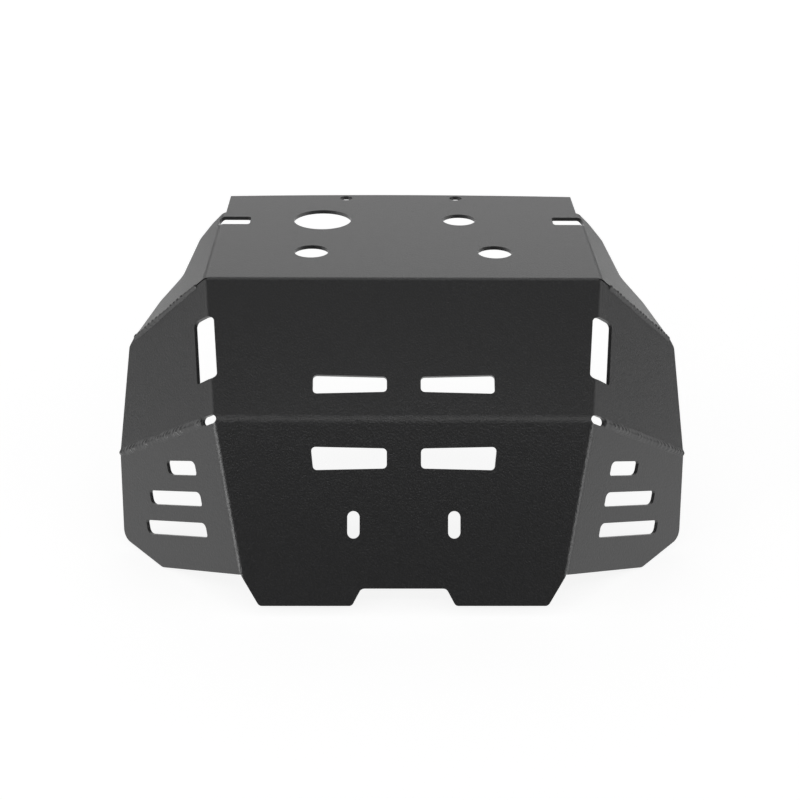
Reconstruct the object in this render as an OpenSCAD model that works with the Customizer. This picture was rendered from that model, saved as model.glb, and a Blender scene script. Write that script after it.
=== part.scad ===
// Motorcycle skid plate: one sheet, cut flat, folded and seam-welded into a shallow dome.
//
// It is drawn dome-up, with the outer faces upward. X runs across the machine, Y runs to the
// back, and Z is up. Down the plate come three panels: the level belly, the middle panel and
// the front panel. Each panel has a wing on either side, folded down from it.
//
// The outer faces are laid out from their fold lines. Every panel and wing has a flat frame of
// its own: x runs out to the side, y runs up the plate to the back, and z leaves the outer face.

/* [Sheet] */
// Thickness of the sheet
sheet_t = 3; // [2:0.5:4]
// Outer radius of the side folds and of the belly fold
bend_r = 7; // [6:0.5:9]
// Outer radius of the soft fold between the middle and front panels
front_bend_r = 24; // [12:1:30]

/* [Belly panel] */
// Half of the belly's width, between its side fold lines
belly_half_w = 150; // [140:1:165]
// Length of the belly, from its front fold line to the back corners
belly_len = 195.5; // [180:0.5:210]
// How far the back edge bows out between its corners
back_bow = 4; // [2:0.5:6]

/* [Middle and front panels] */
// Slope of the middle panel below level
mid_slope = 44; // [40:1:48]
// Length of the middle panel, between its fold lines
mid_len = 112.5; // [108:0.5:120]
// Half of the width where the middle and front panels meet
mid_half_w = 139.5; // [134:0.5:146]
// Slope of the front panel below level
front_slope = 61; // [58:1:64]
// Length of the front panel down to the end of its side folds
front_len = 113.5; // [110:0.5:118]
// Half of the front panel's width at the end of its side folds
front_half_w = 118.5; // [115:0.5:124]
// Length of the front panel down to its lower edge
lip_len = 136; // [132:0.5:142]
// Half of the width of the lower edge
lip_half_w = 105; // [100:0.5:112]

/* [Wings] */
// Angle that the belly and middle wings are folded down
wing_fold = 45; // [42:1:48]
// Angle that the front wings are folded down
front_wing_fold = 42.5; // [40:0.5:45]
// Length of the upper weld seam, between the belly wing and the middle wing
upper_seam = 92; // [86:1:96]
// Length of the lower weld seam, between the middle wing and the front wing
lower_seam = 113; // [108:1:118]
// Distance from the belly's fold line to the back end of the belly wing
belly_wing_back = 152; // [146:1:158]
// Width of the narrow back part of the belly wing
belly_wing_w = 28; // [24:1:32]

/* [Slots and holes] */
// Diameter of the large access hole in the belly
access_d = 48; // [40:1:52]
// Diameter of the three smaller drain holes in the belly
drain_d = 27.5; // [22:0.5:30]
// Diameter of the two bolt holes at the back edge
back_hole_d = 10.5; // [8:0.5:11]
// Distance between the two bolt holes at the back edge
back_hole_pitch = 95; // [80:1:110]
// Width of the upright bolt slots in the front panel
bolt_slot_w = 9; // [7:0.5:10]
// Length of the upright bolt slots in the front panel
bolt_slot_len = 20; // [16:0.5:24]
// Distance between the two upright bolt slots
bolt_slot_pitch = 73.5; // [66:0.5:80]
// Width of the slots in the front wings, along the fold
wing_slot_w = 11; // [8:0.5:12]

/* [Welds] */
// Radius of the weld beads
bead_r = 1.9; // [1.6:0.1:2.0]
// Distance between the ripples of a weld bead
ripple_pitch = 3.6; // [3.4:0.2:6]

/* [Hidden] */
$fn = 64;

// Middle of the notch in the lower edge: half its width at the top, its spread and its depth
notch_half_w = 31;
notch_flare = 6.7;
notch_depth = 12.5;
// Places on the belly, across and back from its front fold line
access_at = [-66, 134];
drain_at = [[-72, 58], [48, 134], [73, 57]];
back_hole_edge = 5;
// Slots through the belly's side folds
side_slot_y = 131.5;
side_slot_w = 18.5;
side_slot_len = 26;
side_slot_past = 2;
side_slot_r = 3;
// Inner ends of the paired slots in the middle and front panels, and their corners' radius
slot_in = 12.5;
slot_r = 3;
// The middle panel's slots: their outer ends, their height over the fold and their two widths
mid_slot_out = 67;
mid_slot_rise = 27;
mid_slot_w = [12, 14.8];
// The front panel's slots: the same, but below the fold, with outer ends that lean
front_slot_out = 68;
front_slot_drop = 29;
front_slot_w = [14.6, 17];
front_slot_lean = 1.8;
// The long slot across the middle panel's side fold: how far it reaches into the panel and
// into the wing, its distance from the belly's corner, its length and its corners' radii
long_slot_in = 3.5;
long_slot_out = 15.5;
long_slot_start = 31.5;
long_slot_len = 50;
long_slot_r = 4;
long_slot_sharp_r = 1.2;
// Place of the bolt slots down the front panel
bolt_slot_drop = 77.3;
// The front wings' slots: inner and outer ends, first place, spacing, lean and corners' radii
wing_slot_in = 28.5;
wing_slot_reach = [60, 86, 96];
wing_slot_start = 33;
wing_slot_pitch = 23.3;
wing_slot_lean = 8.8;
wing_slot_r = 5;
wing_slot_small_r = 2;
// Relief slit at the belly's corners, and relief slot at the middle panel's lower corners
slit_len = 10;
slit_w = 1.8;
relief_len = 14;
relief_w = 6.6;
relief_back = 1.5;
// How far the back edge's bow runs past the panel's flat, and the radii of the lower edge's
// corners, from the notch outwards
back_edge_past = 1;
lower_edge_radii = [4, 3.5, 4];
// How deep a bead's axis lies under the seam's edge, and how high its ripples stand
bead_sink = 0.9;
ripple_h = 0.3;
// How far a bead stops short of the outline
bead_stop = 2.5;
// Lap of the outline cuts across a seam, as a share of their length
seam_lap = 0.002;

// How far the solids that shape the plate run past its folds, and the cuts past its outline
reach = 2 * belly_half_w + 150;
outer_reach = belly_half_w + 165;
// Room between the plate's outline and the block that holds it
room = 5;
// Depth of a cut on each side of a face
cut = 9;
// How far the side folds' rounds stand proud before the panel's own face trims them
proud = 0.02;
// Steps in a rounded corner or fold
corner_steps = 8;

X = [1, 0, 0];
function unit(v) = v / norm(v);
function slope_dir(a) = [0, cos(a), sin(a)];
function slope_normal(a) = [0, -sin(a), cos(a)];

// Directions up each panel, and out of its outer face
belly_up = slope_dir(0);
mid_up = slope_dir(mid_slope);
front_up = slope_dir(front_slope);
belly_n = slope_normal(0);
mid_n = slope_normal(mid_slope);
front_n = slope_normal(front_slope);

// Corners of the fold lines on the right-hand side
mid_origin = [0, 0, 0];
front_origin = -mid_len * mid_up;
corner_belly = [belly_half_w, 0, 0];
corner_mid = front_origin + mid_half_w * X;
corner_front = front_origin - front_len * front_up + front_half_w * X;

// Directions up each side fold, then across it in the panel, then out along the wing
belly_fold = belly_up;
mid_fold = unit(corner_belly - corner_mid);
front_fold = unit(corner_mid - corner_front);
function across(fold, n) = cross(fold, n);
function wing_out(fold, n, a) = cos(a) * across(fold, n) - sin(a) * n;
function wing_normal(fold, n, a) = sin(a) * across(fold, n) + cos(a) * n;

belly_wing_n = wing_normal(belly_fold, belly_n, wing_fold);
mid_wing_n = wing_normal(mid_fold, mid_n, wing_fold);
front_wing_n = wing_normal(front_fold, front_n, front_wing_fold);
belly_wing_out = wing_out(belly_fold, belly_n, wing_fold);
mid_wing_out = wing_out(mid_fold, mid_n, wing_fold);
front_wing_out = wing_out(front_fold, front_n, front_wing_fold);

// The seams run out from the corners, where neighbouring wings meet
upper_dir = unit(cross(belly_wing_n, mid_wing_n));
lower_dir = unit(cross(mid_wing_n, front_wing_n));

// A point given as out along a wing and up along its fold
function on_wing(corner, out, fold, p) = corner + p[0] * out + p[1] * fold;

// A seam's end, seen in the frame of a wing
function seam_point(dir, out, fold, s, base = 0) = [s * dir * out, base + s * dir * fold];

mid_fold_len = norm(corner_belly - corner_mid);
front_fold_len = norm(corner_mid - corner_front);

// Ends of the seams in the frames of the wings on either side of them
upper_on_belly = seam_point(upper_dir, belly_wing_out, belly_fold, upper_seam);
upper_on_mid = seam_point(upper_dir, mid_wing_out, mid_fold, upper_seam);
lower_on_mid = seam_point(lower_dir, mid_wing_out, mid_fold, lower_seam, -mid_fold_len);
lower_on_front = seam_point(lower_dir, front_wing_out, front_fold, lower_seam);

// Outlines of the wings from the seam's end on, out from the fold and up along it, with the
// radii of their corners
belly_wing_tail = 12;
belly_wing_edge = [upper_on_belly, [63, 62], [37.5, 71.5],
    [belly_wing_w, belly_wing_back - belly_wing_tail], [belly_wing_w / 2, belly_wing_back],
    [bend_r / 4, belly_wing_back]];
belly_wing_radii = [0, 7, 9, 8, 6, 0];
mid_wing_edge = [upper_on_mid, upper_on_mid + [6, -5], lower_on_mid];
mid_wing_radii = [0, 5, 0];
front_wing_side = lower_on_front + [13.3, -65.1];
front_wing_low = [86, 13.9 - front_fold_len];
front_wing_edge = [lower_on_front, front_wing_side, front_wing_low, [0, -front_fold_len]];
front_wing_radii = [0, 11, 9, 0];

// The lowest point is on the round of the front wings' lower corner, and it sets the height
low_centre = arc_centre(front_wing_side, front_wing_low, front_wing_edge[3], front_wing_radii[2]);
low_z = on_wing(corner_mid, front_wing_out, front_fold, low_centre)[2]
    - front_wing_radii[2] * norm([front_wing_out[2], front_fold[2]])
    - sheet_t * front_wing_n[2];
front_edge = front_origin - lip_len * front_up;
back_edge_y = belly_len + back_bow;
base = [0, -(front_edge[1] + back_edge_y) / 2, -low_z];

// The widest of the wings' corners, and the block that holds the whole plate
widest = max([for (p = belly_wing_edge) on_wing(corner_belly, belly_wing_out, belly_fold, p)[0],
    for (p = mid_wing_edge) on_wing(corner_belly, mid_wing_out, mid_fold, p)[0],
    for (p = front_wing_edge) on_wing(corner_mid, front_wing_out, front_fold, p)[0]]);
block_low = [-widest - room, front_edge[1] - room, low_z - room];
block_high = [widest + room, back_edge_y + room, room];

// The middle of the arc that rounds the corner b between a and c
function arc_centre(a, b, c, r) =
    let (u = unit(a - b), v = unit(c - b), half = acos(u * v) / 2)
    b + r / sin(half) * unit(u + v);

// A polygon whose corners are rounded, each by its own radius, with points along every arc
function arc_corner(a, b, c, r) =
    let (u = unit(a - b), v = unit(c - b), half = acos(u * v) / 2)
    let (back = r / tan(half), centre = arc_centre(a, b, c, r))
    let (p = b + back * u - centre, q = b + back * v - centre, turn = 180 - 2 * half)
    let (side = p[0] * q[1] - p[1] * q[0] > 0 ? 1 : -1)
    r == 0 ? [b] : [for (i = [0:corner_steps])
        let (t = side * turn * i / corner_steps)
        centre + [p[0] * cos(t) - p[1] * sin(t), p[0] * sin(t) + p[1] * cos(t)]];
function rounded(points, radii) =
    let (n = len(points))
    [for (i = [0:n - 1], p = arc_corner(points[(i + n - 1) % n], points[i],
        points[(i + 1) % n], radii[i])) p];

// Places what is drawn flat into a frame given by its origin and its three directions
module frame(o, x, y, z) {
    multmatrix([
        [x[0], y[0], z[0], o[0]],
        [x[1], y[1], z[1], o[1]],
        [x[2], y[2], z[2], o[2]],
        [0, 0, 0, 1]]) children();
}
module on_belly() frame([0, 0, 0], X, belly_up, belly_n) children();
module on_mid() frame(mid_origin, X, mid_up, mid_n) children();
module on_front() frame(front_origin, X, front_up, front_n) children();
module on_belly_wing() frame(corner_belly, belly_wing_out, belly_fold, belly_wing_n) children();
module on_mid_wing() frame(corner_belly, mid_wing_out, mid_fold, mid_wing_n) children();
module on_front_wing() frame(corner_mid, front_wing_out, front_fold, front_wing_n) children();

module both_sides() {
    children();
    mirror(X) children();
}
// A cut through the sheet from a flat outline
module through() translate([0, 0, -cut]) linear_extrude(2 * cut) children();

// Directions in the plane across the machine: up a slope, and out of it
function uphill(a) = [cos(a), sin(a)];
function outward(a) = [-sin(a), cos(a)];

// The room under the three panels, in the plane across the machine, set in by some depth
module panels_section(inset) {
    half1 = mid_slope / 2;
    half2 = (front_slope - mid_slope) / 2;
    mid_corner = [front_origin[1], front_origin[2]];
    fold1 = -inset / cos(half1) * outward(half1);
    fold2 = mid_corner - inset / cos(half2) * outward(mid_slope + half2);
    far = fold2 - reach * uphill(front_slope);
    polygon(rounded([[reach, -inset], fold1, fold2, far, [reach, far[1]]],
        [0, bend_r - inset, front_bend_r - inset, 0, 0]));
}
// The room under a panel and its wing, across their fold, set in by some depth
module fold_section(angle, inset) {
    fold = -inset / cos(angle / 2) * [sin(angle / 2), cos(angle / 2)];
    wing_end = fold + reach * [cos(angle), -sin(angle)];
    translate([-proud / tan(angle), proud])
        polygon(rounded([[-reach, -inset], fold, wing_end, [-reach, -2 * reach]],
            [0, bend_r - inset, 0, 0]));
}
// The room under one side fold, run far past both ends of the fold
module under_fold(corner, fold, n, angle, inset) {
    frame(corner, across(fold, n), n, -fold)
        translate([0, 0, -reach]) linear_extrude(2 * reach) fold_section(angle, inset);
}
// The whole room under the plate's faces, set in by some depth
module dome(inset) {
    intersection() {
        frame([0, 0, 0], [0, 1, 0], [0, 0, 1], [1, 0, 0])
            translate([0, 0, -reach]) linear_extrude(2 * reach) panels_section(inset);
        under_fold(corner_belly, belly_fold, belly_n, wing_fold, inset);
        mirror(X) under_fold(corner_belly, belly_fold, belly_n, wing_fold, inset);
        under_fold(corner_belly, mid_fold, mid_n, wing_fold, inset);
        mirror(X) under_fold(corner_belly, mid_fold, mid_n, wing_fold, inset);
        under_fold(corner_mid, front_fold, front_n, front_wing_fold, inset);
        mirror(X) under_fold(corner_mid, front_fold, front_n, front_wing_fold, inset);
    }
}

// What lies beyond the belly's side edges and its bowed back edge
module beyond_back() {
    edge_w = belly_half_w - bend_r * tan(wing_fold / 2) + back_edge_past;
    bow_r = (edge_w * edge_w + back_bow * back_bow) / (2 * back_bow);
    translate([0, 0, -cut]) linear_extrude(2 * cut) difference() {
        translate([-reach, belly_wing_back]) square([2 * reach, reach]);
        intersection() {
            translate([-edge_w, 0]) square([2 * edge_w, reach]);
            translate([0, back_edge_y - bow_r]) circle(bow_r, $fn = 500);
        }
    }
}

// What lies beyond a wing's outline, from the outer end of one seam or edge to the next. The
// outline's points are rounded by their radii, and the strip runs out from its two ends.
module beyond(points, radii, first_way, last_way) {
    n = len(points);
    linear_extrude(2 * cut, center = true)
        polygon(rounded(concat(points,
            [points[n - 1] + outer_reach * last_way, points[0] + outer_reach * first_way]),
            concat(radii, [0, 0])));
}
module beyond_belly_wing() {
    beyond(belly_wing_edge, belly_wing_radii,
        unit(upper_on_belly) - [0, seam_lap], [0, 1]);
}
module beyond_mid_wing() {
    beyond(mid_wing_edge, mid_wing_radii,
        unit(upper_on_mid) + [0, seam_lap],
        unit(lower_on_mid + [0, mid_fold_len]) - [0, seam_lap]);
}
module beyond_front_wing() {
    beyond(front_wing_edge, front_wing_radii,
        unit(lower_on_front) + [0, seam_lap], [0, -1]);
}
// What lies beyond the front panel's tongue and the notch in its lower edge
module beyond_tongue() {
    top = notch_depth - lip_len;
    half = [[notch_half_w, top], [notch_half_w + notch_flare, -lip_len],
        [lip_half_w, -lip_len], [front_half_w, -front_len], [front_half_w, 0]];
    other = [for (i = [len(half) - 1:-1:0]) [-half[i][0], half[i][1]]];
    radii = concat(lower_edge_radii, [0, 0]);
    other_radii = [for (i = [len(radii) - 1:-1:0]) radii[i]];
    translate([0, 0, -cut]) linear_extrude(2 * cut) difference() {
        translate([-reach, -front_len - reach]) square([2 * reach, reach]);
        polygon(rounded(concat(half, other), concat(radii, other_radii)));
    }
}

// A slot with straight sides and round ends, drawn upright about its middle
module obround(w, l) {
    square([w, l - w], center = true);
    translate([0, (l - w) / 2]) circle(d = w);
    translate([0, (w - l) / 2]) circle(d = w);
}

// A four-cornered slot from one corner to the opposite one, with its corners rounded
module slot(from, to, radii) {
    polygon(rounded([from, [to[0], from[1]], to, [from[0], to[1]]], radii));
}

module belly_cuts() {
    for (x = [-1, 1]) {
        translate([x * back_hole_pitch / 2, belly_len - back_hole_edge, -cut])
            cylinder(2 * cut, d = back_hole_d);
        translate([x * (belly_half_w - side_slot_len / 2 + side_slot_past), side_slot_y, 0])
            through() slot([-side_slot_len / 2, -side_slot_w / 2],
                [side_slot_len / 2, side_slot_w / 2], side_slot_r * [1, 1, 1, 1]);
    }
    translate([access_at[0], access_at[1], -cut]) cylinder(2 * cut, d = access_d);
    for (p = drain_at) translate([p[0], p[1], -cut]) cylinder(2 * cut, d = drain_d);
}
// The slots of the middle and front panels grow wider towards the sides
module taper_slot(x_out, y, w, lean) {
    polygon(rounded([
        [slot_in, y - w[0] / 2], [x_out - lean, y - w[1] / 2],
        [x_out, y + w[1] / 2], [slot_in, y + w[0] / 2]],
        slot_r * [1, 1, 1, 1]));
}
module mid_cuts() {
    both_sides() through()
        taper_slot(mid_slot_out, mid_slot_rise - mid_len, mid_slot_w, 0);
}
module front_cuts() {
    both_sides() through()
        taper_slot(front_slot_out, -front_slot_drop, front_slot_w, front_slot_lean);
    for (x = [-1, 1])
        translate([x * bolt_slot_pitch / 2, -bolt_slot_drop]) through()
            obround(bolt_slot_w, bolt_slot_len);
}
// The long slot that straddles the side fold of the middle panel
module mid_wing_cuts() {
    through() slot([-long_slot_in, -long_slot_start - long_slot_len],
        [long_slot_out, -long_slot_start],
        [long_slot_r, long_slot_sharp_r, long_slot_r, long_slot_r]);
}
// Three leaning slots, with large radii at the inner upper and outer lower corners
module front_wing_cuts() {
    for (i = [0:2]) {
        y_in = -wing_slot_start - i * wing_slot_pitch;
        x_out = wing_slot_reach[i];
        y_out = y_in + (x_out - wing_slot_in) * tan(wing_slot_lean);
        half = wing_slot_w / 2;
        through() polygon(rounded([
            [wing_slot_in, y_in - half], [x_out, y_out - half],
            [x_out, y_out + half], [wing_slot_in, y_in + half]],
            [wing_slot_small_r, wing_slot_r, wing_slot_small_r, wing_slot_r]));
    }
}
// A frame on a seam: x runs out along it, and z leaves it halfway between the two wings
module on_seam(corner, dir, n1, n2) {
    z = unit(n1 + n2);
    frame(corner, dir, cross(z, dir), z) children();
}
module on_upper_seam() on_seam(corner_belly, upper_dir, belly_wing_n, mid_wing_n) children();
module on_lower_seam() on_seam(corner_mid, lower_dir, mid_wing_n, front_wing_n) children();

// The relief slit and the relief slot keep the folds' ends from tearing
module relief_cuts() {
    on_upper_seam() translate([slit_len / 2, 0, 0]) through()
        rotate(90) obround(slit_w, slit_len + slit_w);
    on_lower_seam() translate([relief_len / 2 - relief_back, 0, 0]) through()
        rotate(90) obround(relief_w, relief_len);
}

// A rippled weld bead along a seam, from a start to an end
module bead(from, to) {
    n = floor((to - from) / ripple_pitch);
    pitch = (to - from) / n;
    low_r = bead_r - ripple_h;
    translate([from, 0, -bead_sink]) rotate([0, 90, 0]) rotate_extrude($fn = 16)
        polygon(concat([[0, 0], [low_r, 0]],
            [for (i = [0:n - 1], p = [[bead_r, 0.3], [low_r, 1]]) [p[0], (i + p[1]) * pitch]],
            [[0, to - from]]));
}

module sheet() {
    difference() {
        intersection() {
            dome(0);
            translate(block_low) cube(block_high - block_low);
        }
        dome(sheet_t);
        beyond_back();
        on_front() beyond_tongue();
        both_sides() {
            on_belly_wing() beyond_belly_wing();
            on_mid_wing() beyond_mid_wing();
            on_front_wing() beyond_front_wing();
            on_mid_wing() mid_wing_cuts();
            on_front_wing() front_wing_cuts();
            relief_cuts();
        }
        on_belly() belly_cuts();
        on_mid() mid_cuts();
        on_front() front_cuts();
    }
}

module skid_plate() {
    color("#17181a") translate(base) {
        sheet();
        both_sides() {
            on_upper_seam() bead(slit_len + 2, upper_seam - bead_stop);
            on_lower_seam() bead(relief_len, lower_seam - bead_stop);
        }
    }
}

skid_plate();
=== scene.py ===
# %% [markdown]
# # A black powder-coated skid plate on a white ground
#
# A skid plate is one sheet of metal, cut flat, folded into a shallow dome and welded
# along its slits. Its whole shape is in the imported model, so this lesson models very
# little: it dresses the plate. The work is in the finish, a black powder coat with a
# fine grain, in the ripples of the welds, and in the light, which has to leave black
# metal readable against pure white.

# %% Load the plate
import math
import random

import bmesh
import bpy
from mathutils import Matrix, Vector


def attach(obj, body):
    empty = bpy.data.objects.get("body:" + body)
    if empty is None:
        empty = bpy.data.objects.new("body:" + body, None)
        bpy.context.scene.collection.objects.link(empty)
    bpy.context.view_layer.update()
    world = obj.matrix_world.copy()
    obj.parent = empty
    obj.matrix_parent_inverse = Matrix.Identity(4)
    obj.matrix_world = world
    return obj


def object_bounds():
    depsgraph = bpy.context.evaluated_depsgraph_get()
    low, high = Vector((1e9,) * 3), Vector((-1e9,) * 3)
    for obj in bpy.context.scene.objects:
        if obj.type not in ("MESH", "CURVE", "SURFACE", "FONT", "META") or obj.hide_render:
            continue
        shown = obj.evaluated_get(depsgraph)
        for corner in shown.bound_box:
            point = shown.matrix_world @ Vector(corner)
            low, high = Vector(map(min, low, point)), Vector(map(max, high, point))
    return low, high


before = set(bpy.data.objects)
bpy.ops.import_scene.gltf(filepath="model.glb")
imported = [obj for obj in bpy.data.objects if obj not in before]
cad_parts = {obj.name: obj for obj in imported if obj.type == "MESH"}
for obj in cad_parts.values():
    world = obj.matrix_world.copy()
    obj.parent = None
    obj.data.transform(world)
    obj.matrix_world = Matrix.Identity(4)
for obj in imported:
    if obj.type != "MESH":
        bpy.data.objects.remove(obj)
low_start, high_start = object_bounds()
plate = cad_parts["skid_plate"]
size = high_start - low_start
print("plate size in mm:", [round(1000 * s, 1) for s in size])

# %% [markdown]
# ## Sockets that can be added up
#
# A material is easier to read as a sum than as a tangle of nodes. This small class
# wraps a node's output, and its operators make the Math nodes. The reflected forms let
# a plain number stand first, as in 1 - mask. Every node comes from one method, which
# takes the node's type, its settings and the values or links of its sockets. A wire
# without an output is where the first nodes of a material start.


# %% A socket with operators
class Wire:
    """The output of a node, on which arithmetic builds more nodes."""

    def __init__(self, tree, socket=None):
        self.tree = tree
        self.socket = socket

    def node(self, kind, settings=None, out=0, **inputs):
        made = self.tree.nodes.new(kind)
        for name, value in (settings or {}).items():
            setattr(made, name, value)
        for name, value in inputs.items():
            put(made.inputs[socket_key(name)], value)
        return Wire(self.tree, made.outputs[out])

    def maths(self, operation, first, second):
        settings = {"operation": operation}
        return self.node("ShaderNodeMath", settings, i0=first, i1=second)

    def __add__(self, other):
        return self.maths("ADD", self, other)

    __radd__ = __add__

    def __sub__(self, other):
        return self.maths("SUBTRACT", self, other)

    def __rsub__(self, other):
        return self.maths("SUBTRACT", other, self)

    def __mul__(self, other):
        return self.maths("MULTIPLY", self, other)

    __rmul__ = __mul__

    def smooth(self, start, end):
        """0 below start, 1 above end, and a smooth step between them."""
        settings = {"interpolation_type": "SMOOTHSTEP"}
        return self.node(
            "ShaderNodeMapRange", settings, Value=self, From_Min=start, From_Max=end
        )

    def mix(self, first, second):
        """A colour that goes from first to second as this value goes from 0 to 1."""
        settings = {"data_type": "RGBA"}
        return self.node("ShaderNodeMix", settings, out=2, i0=self, i6=first, i7=second)


# %% Ways into a socket
def socket_key(name):
    """Sockets are named in words, or numbered as i0, i1 and so on."""
    if name[0] == "i" and name[1:].isdigit():
        return int(name[1:])
    return name.replace("_", " ")


def put(socket, value):
    """Link a wire to the socket, or set a plain value on it."""
    if isinstance(value, Wire):
        value.tree.links.new(value.socket, socket)
    elif socket.type == "RGBA":
        socket.default_value = (*value, 1.0)
    else:
        socket.default_value = value


def new_material(name):
    """A material, its shader, and the wire of the places on the surface."""
    material = bpy.data.materials.new(name)
    material.use_nodes = True
    shader = material.node_tree.nodes["Principled BSDF"]
    place = Wire(material.node_tree).node("ShaderNodeTexCoord", out="Object")
    return material, shader, place


print("sockets go by name or number, as", [socket_key("From_Min"), socket_key("i6")])

# %% [markdown]
# ## The powder coat
#
# Powder is sprayed dry and baked, so it flows out into low, close bumps: a fine grain
# one to two millimetres across, which catches small glints where light strikes at a
# slant. Two sizes of noise make it, one for the grain and one for the slow waves under
# it. Both are plain bumps in the material, because a grain this fine would need
# millions of faces. The pigment is nearly black, a little greyer on the grain's tops,
# and the shine is broad. Nothing is worn on a new plate, so there is no dirt or
# scratch here.

# %% Sizes and tones of the coat
GRAIN = 0.0014
GRAIN_DETAIL = 2.0
GRAIN_HEIGHT = 0.00022
WAVE = 0.012
WAVE_DETAIL = 1.0
WAVE_HEIGHT = 0.00006
BLACK = (0.0075, 0.0075, 0.0083)
GREY_BLACK = (0.0130, 0.0130, 0.0140)
TOPS_START = 0.45
TOPS_END = 0.70
ROUGHNESS = 0.28
ROUGHNESS_SPREAD = 0.10
MIRROR_LEVEL = 1.0
print("grain of", GRAIN * 1000, "mm, raised", GRAIN_HEIGHT * 1e6, "micrometres")


# %% Powder coat
def powder_coat():
    material, shader, place = new_material("powder_coat")
    noise, bump = "ShaderNodeTexNoise", "ShaderNodeBump"
    grain = place.node(noise, Vector=place, Scale=1 / GRAIN, Detail=GRAIN_DETAIL)
    wave = place.node(noise, Vector=place, Scale=1 / WAVE, Detail=WAVE_DETAIL)
    tops = grain.smooth(TOPS_START, TOPS_END)
    put(shader.inputs["Base Color"], tops.mix(BLACK, GREY_BLACK))
    put(shader.inputs["Roughness"], ROUGHNESS + ROUGHNESS_SPREAD * grain)
    waves = wave.node(bump, Height=wave, Distance=WAVE_HEIGHT)
    bumps = grain.node(bump, Height=grain, Distance=GRAIN_HEIGHT, Normal=waves)
    put(shader.inputs["Normal"], bumps)
    put(shader.inputs["Specular IOR Level"], MIRROR_LEVEL)
    return material


coat = powder_coat()
plate.data.materials.clear()
plate.data.materials.append(coat)
print("materials on the plate:", [m.name for m in plate.data.materials])

# %% [markdown]
# ## The weld beads
#
# The wings are cut apart at the folds' ends and meet again along four seams, which are
# closed by hand. A hand weld is a row of overlapping drops: each one freezes into a
# crescent that laps the last. The model has a simple ringed bead there. A wider bead of
# mesh covers it, with bowed crescents, an uneven width and pitch, and rounded ends. It
# is real geometry, so it catches light from every side.
#
# A seam starts at the corner where two folds cross, and runs between two wings that
# slope away from it like the sides of a roof. The corners and the ways that the panels'
# wings face are the model's own, repeated here in metres.

# %% Where the seams run
BELLY_CORNER = Vector((0.1500, -0.02632, 0.20429))
MIDDLE_CORNER = Vector((0.1395, -0.10725, 0.12614))
BELLY_WING = Vector((0.7071, 0.0, 0.7071))
MIDDLE_WING = Vector((0.7040, -0.5385, 0.4630))
FRONT_WING = Vector((0.6643, -0.7044, 0.2499))


def seam_frame(corner, upper, lower):
    """The corner, the ways along, across and out of the seam, and the roof's slope."""
    along = upper.cross(lower).normalized()
    out = (upper + lower).normalized()
    return corner, along, out.cross(along), out, math.tan(upper.angle(lower) / 2)


UPPER_SEAM = seam_frame(BELLY_CORNER, BELLY_WING, MIDDLE_WING)
LOWER_SEAM = seam_frame(MIDDLE_CORNER, MIDDLE_WING, FRONT_WING)
for name, seam in (("upper", UPPER_SEAM), ("lower", LOWER_SEAM)):
    print(name, "seam runs", [round(v, 3) for v in seam[1]])

# %% [markdown]
# No hand moves evenly, so the width, the lift and the pitch of the drops each follow
# slow waves of their own. The waves run smoothly between random knots, from a seeded
# source, so that every run makes the same bead.

# %% Waves along a bead
WIDTH_SPAN = 22
LIFT_SPAN = 13
PITCH_SPAN = 16
WIDTH_SPREAD = 0.18
PITCH_SPREAD = 0.25


def wander(rng, count, span):
    """One value a row, from -1 to 1, with a random knot every so many rows."""
    knots = [rng.uniform(-1, 1) for _ in range(int(count / span) + 3)]
    values = []
    for index in range(count):
        place, part = divmod(index / span, 1)
        ease = part * part * (3 - 2 * part)
        values.append(knots[int(place)] * (1 - ease) + knots[int(place) + 1] * ease)
    return values


print("the width waves between knots", WIDTH_SPAN, "rows apart")

# %% [markdown]
# Across the seam the bead is a low crown over the ridge of the roof, and never lower
# than the round bead of the model under it. Each drop adds a crescent to it: a steep
# front, a long back, and a bow that trails at the edges.

# %% The outline of a bead
BEAD_COLUMNS = 24
BEAD_CROWN = 0.00110
CROWN_POWER = 1.3
BEAD_SINK = 0.0006
BEAD_ROUND = 0.00195
BEAD_DEPTH = 0.00088
RIDGE_SOFTNESS = 1e-7
CRESCENT = 0.0043
CRESCENT_HEIGHT = 0.00042
CRESCENT_BOW = 0.0030
CRESCENT_FACE = 0.28
CRESCENT_TROUGH = 0.1
EDGE_POWER = 4


def bead_outline(width, slope, phase, height, cap):
    """The points around one row of a bead, across the seam and out of it."""
    top = []
    for column in range(BEAD_COLUMNS + 1):
        part = 2 * column / BEAD_COLUMNS - 1
        shift = part * width
        drop = (phase + CRESCENT_BOW * part * part / CRESCENT) % 1
        rise = min(drop / CRESCENT_FACE, (1 - drop) / (1 - CRESCENT_FACE))
        crescent = height * (rise - CRESCENT_TROUGH) * (1 - part**EDGE_POWER)
        crown = BEAD_CROWN * math.cos(math.pi / 2 * part) ** CROWN_POWER
        roof = -slope * math.sqrt(shift * shift + RIDGE_SOFTNESS)
        core = math.sqrt(max(0.0, BEAD_ROUND**2 - shift**2)) - BEAD_DEPTH - roof
        top.append((shift, roof + (max(crown, core) + crescent) * cap))
    under = [(shift, -slope * abs(shift) - BEAD_SINK) for shift, _ in reversed(top)]
    return top + under


print("crescents of", CRESCENT * 1000, "mm, raised", CRESCENT_HEIGHT * 1000, "mm")

# %% Rows along a bead
BEAD_STEP = 0.0004
CAP = 0.0018
CAP_WIDTH = 0.35
LAP_WIDTH = 0.10


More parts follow.
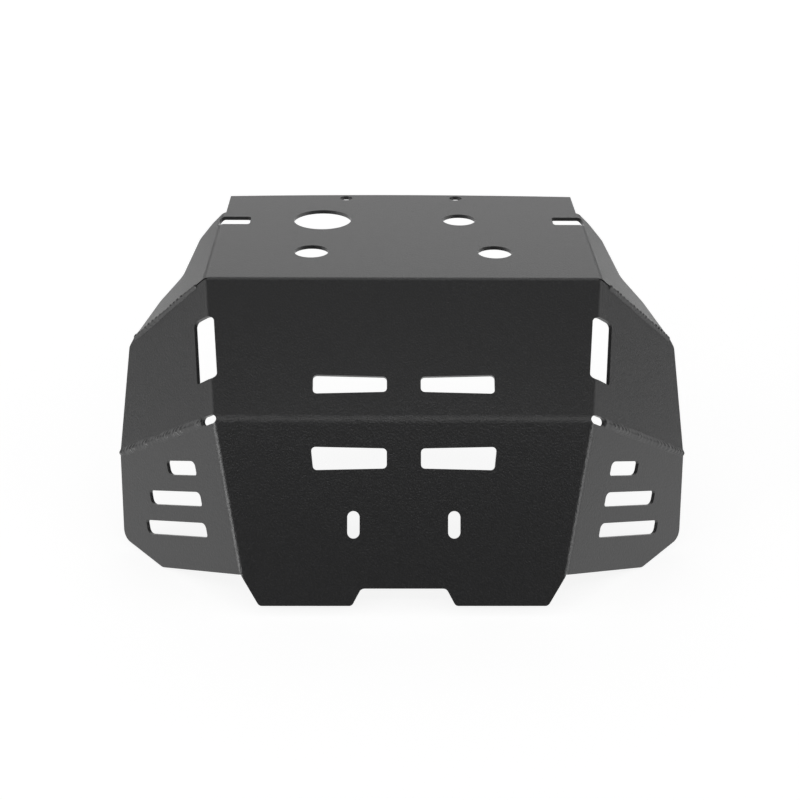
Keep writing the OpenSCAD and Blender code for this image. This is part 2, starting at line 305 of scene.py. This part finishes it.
def bead_points(seam, start, end, half_width, rng, side):
    """The points of all rows, and how many rows there are."""
    corner, along, across, out, slope = seam
    rows = int((end - start) / BEAD_STEP)
    width_waves = wander(rng, rows, WIDTH_SPAN)
    lift_waves = wander(rng, rows, LIFT_SPAN)
    pitch_waves = wander(rng, rows, PITCH_SPAN)
    points = []
    phase = 0.0
    for row in range(rows):
        place = start + (end - start) * row / (rows - 1)
        phase += BEAD_STEP / (CRESCENT * (1 + PITCH_SPREAD * pitch_waves[row]))
        to_end = min(place - start, end - place)
        cap = math.sqrt(max(0.0, 1 - (1 - min(1.0, to_end / CAP)) ** 2))
        lap = LAP_WIDTH * abs(math.sin(math.pi * phase))
        width = half_width * (1 + WIDTH_SPREAD * width_waves[row] + lap)
        width *= CAP_WIDTH + (1 - CAP_WIDTH) * cap
        height = CRESCENT_HEIGHT * (1 + lift_waves[row])
        for shift, lift in bead_outline(width, slope, phase, height, cap):
            point = corner + along * place + across * shift + out * lift
            points.append((point.x * side, point.y, point.z))
    return points, rows


print("rows", BEAD_STEP * 1000, "mm apart, rounded over the last", CAP * 1000, "mm")


# %% The mesh of a bead
def weld_bead(name, seam, start, end, half_width, side, seed):
    """Join the rows to a closed bead that rides with the plate."""
    points, rows = bead_points(seam, start, end, half_width, random.Random(seed), side)
    loop = 2 * (BEAD_COLUMNS + 1)
    faces = [tuple(range(loop)), tuple(range((rows - 1) * loop, rows * loop))[::-1]]
    for row in range(rows - 1):
        for index in range(loop):
            after = (index + 1) % loop
            first, last = row * loop, (row + 1) * loop
            faces.append((first + after, first + index, last + index, last + after))
    mesh = bpy.data.meshes.new(name)
    mesh.from_pydata(points, [], faces)
    mesh.validate()
    shape = bmesh.new()
    shape.from_mesh(mesh)
    bmesh.ops.recalc_face_normals(shape, faces=shape.faces)
    shape.to_mesh(mesh)
    shape.free()
    mesh.polygons.foreach_set("use_smooth", [True] * len(mesh.polygons))
    mesh.materials.append(coat)
    piece = bpy.data.objects.new(name, mesh)
    bpy.context.scene.collection.objects.link(piece)
    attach(piece, "root")
    return piece


# %% The four beads
# A seam's bead starts and ends so far from its corner, and has half this width. The
# last pair are the seeds of its waves, on the left and on the right.
SIDES = (("left", -1), ("right", 1))
BEADS = (
    ("upper", UPPER_SEAM, 0.0108, 0.0914, 0.0028, (4, 10)),
    ("lower", LOWER_SEAM, 0.0122, 0.1136, 0.0035, (5, 11)),
)
for number, (side_name, side) in enumerate(SIDES):
    for seam_name, seam, start, end, half_width, seeds in BEADS:
        name = "weld_bead_" + seam_name + "_" + side_name
        bead = weld_bead(name, seam, start, end, half_width, side, seeds[number])
        print(bead.name, len(bead.data.polygons), "faces")

# %% [markdown]
# ## The camera
#
# The photograph is taken from in front of the plate and above it, with a long lens, so
# that the belly is seen at a low angle. The camera stands about 1.2 m off. Its place,
# the point it looks at, a long lens and a slight roll are the whole set-up.

# %% Camera
CAMERA_PLACE = Vector((-0.0156, -1.0875, 0.6192))
CAMERA_AIM = Vector((-0.0016, 0.0, 0.0891))
CAMERA_ROLL = math.radians(0.41)
LENS_MM = 67.6

camera_data = bpy.data.cameras.new("photo_camera")
camera_data.lens = LENS_MM
camera = bpy.data.objects.new("photo_camera", camera_data)
camera.rotation_mode = "QUATERNION"
camera.location = CAMERA_PLACE
level = (CAMERA_AIM - CAMERA_PLACE).to_track_quat("-Z", "Y")
roll = Matrix.Rotation(CAMERA_ROLL, 3, "Z").to_quaternion()
camera.rotation_quaternion = level @ roll
bpy.context.scene.collection.objects.link(camera)
bpy.context.scene.camera = camera
camera_distance = (CAMERA_AIM - CAMERA_PLACE).length
print("lens of", LENS_MM, "mm, looking from", round(camera_distance, 2), "m")

# %% [markdown]
# ## The ground
#
# The photograph is a cut-out on pure white, and black metal on white is hard to expose:
# lamps strong enough to turn a grey floor white would wash the black out. So most of
# the floor's white is its own glow, which only camera and mirror rays see, and the rest
# is the lamps' light on a mid grey. The sum is white in the open and a little less
# under the plate, where its soft shadow falls. Well away from the plate the glow that
# the camera sees grows to full white and leaves nothing to the lamps, so that no
# horizon shows.

# %% Floor finish
FLOOR_GREY = (0.32, 0.32, 0.32)
FLOOR_ROUGHNESS = 0.9
FLOOR_GLOW = 0.85
SHADOW_REACH = 0.8
WHITE_FROM = 2.2


def floor_finish():
    material, shader, place = new_material("floor_white")
    put(shader.inputs["Base Color"], FLOOR_GREY)
    put(shader.inputs["Roughness"], FLOOR_ROUGHNESS)
    put(shader.inputs["Specular IOR Level"], 0.0)
    to_camera = place.node("ShaderNodeLightPath", out="Is Camera Ray")
    to_mirrors = place.node("ShaderNodeLightPath", out="Is Glossy Ray")
    settings = {"operation": "LENGTH"}
    away = place.node("ShaderNodeVectorMath", settings, out="Value", i0=place)
    far = away.smooth(SHADOW_REACH, WHITE_FROM) * to_camera
    lamps = (1 - FLOOR_GLOW) * (1 - far)
    put(shader.inputs["Emission Color"], (to_camera + to_mirrors) * (1 - lamps))
    put(shader.inputs["Emission Strength"], 1.0)
    return material


print("the floor glows at", FLOOR_GLOW, "of white near the plate")

# %% Floor
FLOOR_SIZE = 6.0

half = FLOOR_SIZE / 2
corners = [(-half, -half, 0), (half, -half, 0), (half, half, 0), (-half, half, 0)]
floor_mesh = bpy.data.meshes.new("floor")
floor_mesh.from_pydata(corners, [], [(0, 1, 2, 3)])
floor_mesh.materials.append(floor_finish())
floor = bpy.data.objects.new("floor", floor_mesh)
bpy.context.scene.collection.objects.link(floor)
print(floor.name, "is", FLOOR_SIZE, "m across")

# %% [markdown]
# ## The sky
#
# The camera sees a white sky, and the plate a dim one. A black gloss shows what stands
# around it far more than its own colour, so a dim surround with a few soft boxes gives
# each panel its own tone, as in the photograph.

# %% Sky
SKY_DIM = (0.11, 0.11, 0.11)
SKY_WHITE = (1.0, 1.0, 1.0)

world = bpy.data.worlds.new("studio")
world.use_nodes = True
background = world.node_tree.nodes["Background"]
to_camera = Wire(world.node_tree).node("ShaderNodeLightPath", out="Is Camera Ray")
put(background.inputs["Color"], to_camera.mix(SKY_DIM, SKY_WHITE))
put(background.inputs["Strength"], 1.0)
bpy.context.scene.world = world
print("sky:", SKY_WHITE[0], "to the camera,", SKY_DIM[0], "to the plate")

# %% [markdown]
# ## The soft boxes
#
# Each box is placed by what mirrors it. The belly is seen at a slant and mirrors the
# sky low at the back, so the largest box stands there and turns it light grey. The box
# above that one fills the fold at the belly's front edge. The middle panel mirrors the
# front sky near the zenith, where a faint box hangs. The fold under it mirrors a thin
# bright strip. An area lamp is set in watts, so a helper turns the brightness that a
# mirror would show into watts for its size.


# %% A soft box
def soft_box(name, place, target, width, height, brightness):
    light = bpy.data.lights.new(name, "AREA")
    light.shape = "RECTANGLE"
    light.size = width
    light.size_y = height
    light.energy = math.pi * width * height * brightness
    box = bpy.data.objects.new(name, light)
    box.location = place
    box.rotation_mode = "QUATERNION"
    aim = Vector(target) - Vector(place)
    box.rotation_quaternion = aim.to_track_quat("-Z", "Y")
    bpy.context.scene.collection.objects.link(box)
    print(name, "shines", round(light.energy, 1), "W")


# %% Boxes behind and overhead
# Each box has a place, a width, a height and a brightness, and faces the plate.
PLATE_MIDDLE = (0.0, -0.05, 0.12)
BOXES = (
    ("back_box", (0.0, 2.2, 1.20), 2.6, 1.8, 0.79),
    ("over_box", (0.0, 0.75, 2.35), 2.2, 1.1, 0.55),
    ("top_box", (0.0, -0.65, 2.3), 2.2, 0.7, 0.17),
    ("strip_box", (0.0, -1.45, 1.70), 2.4, 0.22, 2.5),
)
for name, place, width, height, brightness in BOXES:
    soft_box(name, place, PLATE_MIDDLE, width, height, brightness)

# %% [markdown]
# The wings mirror the sides. A wide box at each side gives them a middle grey, and one
# towards each back corner lights the upper flanks of the weld beads, so that their
# crescents read. The folds of the front wings mirror a tall bright box at each front
# corner, which draws the light line along them. The photograph's right side is a
# little darker, and its line on the left is much stronger.

# %% Boxes at the sides
# Places are on the right, and mirrored for the left. A box faces its target, and has a
# width, a height and a brightness on the left and on the right.
SIDE_BOXES = (
    ("box", (1.8, -0.45, 1.15), (0.0, -0.45, 1.15), 1.5, 2.1, (0.77, 0.7238)),
    ("corner_box", (1.7, 1.2, 0.8), (0.0, 0.0, 0.8), 1.0, 1.5, (0.68, 0.6392)),
    ("fold_box", (1.6, -1.4, 0.48), PLATE_MIDDLE, 0.6, 1.0, (4.2, 2.8)),
)
for number, (side_name, side) in enumerate(SIDES):
    for box_name, (x, y, z), target, width, height, brightness in SIDE_BOXES:
        name = side_name + "_" + box_name
        soft_box(name, (x * side, y, z), target, width, height, brightness[number])

# %% [markdown]
# ## The render
#
# The Standard view transform keeps white at white, which a cut-out needs.

# %% Render settings
bpy.context.scene.view_settings.view_transform = "Standard"
